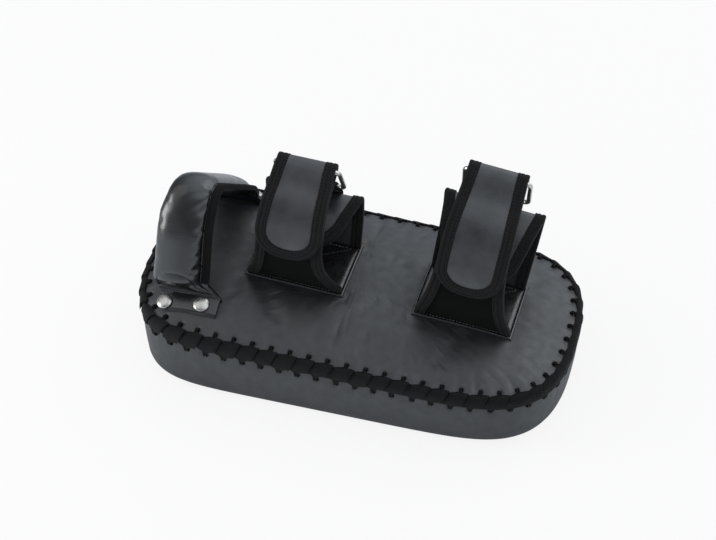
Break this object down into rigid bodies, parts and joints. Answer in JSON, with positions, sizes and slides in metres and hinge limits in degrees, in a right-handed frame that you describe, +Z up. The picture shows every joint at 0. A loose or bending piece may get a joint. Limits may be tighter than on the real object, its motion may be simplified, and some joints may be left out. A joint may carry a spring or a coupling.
{
  "type": "kick pad",
  "caption": "Laced leather kick pad with a flat strike face, a riveted padded grip handle and forearm straps that fold through metal rings.",
  "frame": {"origin": "middle of the flat strike face that the pad lies on", "axes": "+X along the pad from the handle end to the elbow end, +Y across to the side away from the strap tongues, +Z up through the back"},
  "size_m": [0.4059, 0.221, 0.2288],
  "materials": {
    "pad_leather": "satin black, soft grain",
    "handle_leather": "semi-gloss black",
    "patch_leather": "satin black",
    "strap_leather": "dull dark grey",
    "webbing": "black ribbed webbing",
    "lace": "soft black flat lace",
    "loop_fabric": "brushed black loop pile",
    "hook_tape": "black hook tape",
    "foam": "closed-cell foam",
    "board": "plain fibre board",
    "nickel": "worn nickel plate"
  },
  "bodies": {
    "pad": {"back_cover": "pad_leather", "back_foam": "foam", "core_foam": "foam", "edge_lacing": "lace", "edge_welt": "webbing", "elbow_base_patch": "patch_leather", "elbow_far_binding": "webbing", "elbow_far_wing": "strap_leather", "elbow_loop_tape": "loop_fabric", "elbow_near_binding_left": "webbing", "elbow_near_binding_right": "webbing", "elbow_near_wing": "loop_fabric", "elbow_ring_keeper": "webbing", "far_inner_burr": "nickel", "far_inner_rivet": "nickel", "far_outer_burr": "nickel", "far_outer_rivet": "nickel", "front_cover": "pad_leather", "hand_base_patch": "patch_leather", "hand_far_binding": "webbing", "hand_far_wing": "strap_leather", "hand_loop_tape": "loop_fabric", "hand_near_binding_left": "webbing", "hand_near_binding_right": "webbing", "hand_near_wing": "loop_fabric", "hand_ring_keeper": "webbing", "handle_core": "foam", "handle_cover": "handle_leather", "handle_lining": "handle_leather", "near_inner_burr": "nickel", "near_inner_rivet": "nickel", "near_outer_burr": "nickel", "near_outer_rivet": "nickel", "stiffener_board": "board", "strike_foam": "foam"},
    "hand_tongue": {"hand_tongue": "strap_leather", "hand_tongue_binding": "webbing", "hand_hook_tape": "hook_tape"},
    "elbow_tongue": {"elbow_tongue": "strap_leather", "elbow_tongue_binding": "webbing", "elbow_hook_tape": "hook_tape"},
    "hand_ring": {"hand_ring": "nickel"},
    "elbow_ring": {"elbow_ring": "nickel"}
  },
  "joints": [
    {"name": "hand_tongue_peel", "type": "hinge", "parent": "pad", "child": "hand_tongue", "pos_m": [-0.04873, -0.00915, 0.21243], "axis": [-0.9988, 0, 0.0489], "range_deg": [0, 110]},
    {"name": "hand_ring_swing", "type": "hinge", "parent": "pad", "child": "hand_ring", "pos_m": [-0.05079, 0.01836, 0.17019], "axis": [0.9988, 0, -0.0489], "range_deg": [-2, 2]},
    {"name": "elbow_tongue_peel", "type": "hinge", "parent": "pad", "child": "elbow_tongue", "pos_m": [0.118, 0.00863, 0.2244], "axis": [-0.9928, 0, 0.1201], "range_deg": [0, 110]},
    {"name": "elbow_ring_swing", "type": "hinge", "parent": "pad", "child": "elbow_ring", "pos_m": [0.11271, 0.03311, 0.18068], "axis": [0.9928, 0, -0.1201], "range_deg": [-2, 2]}
  ]
}
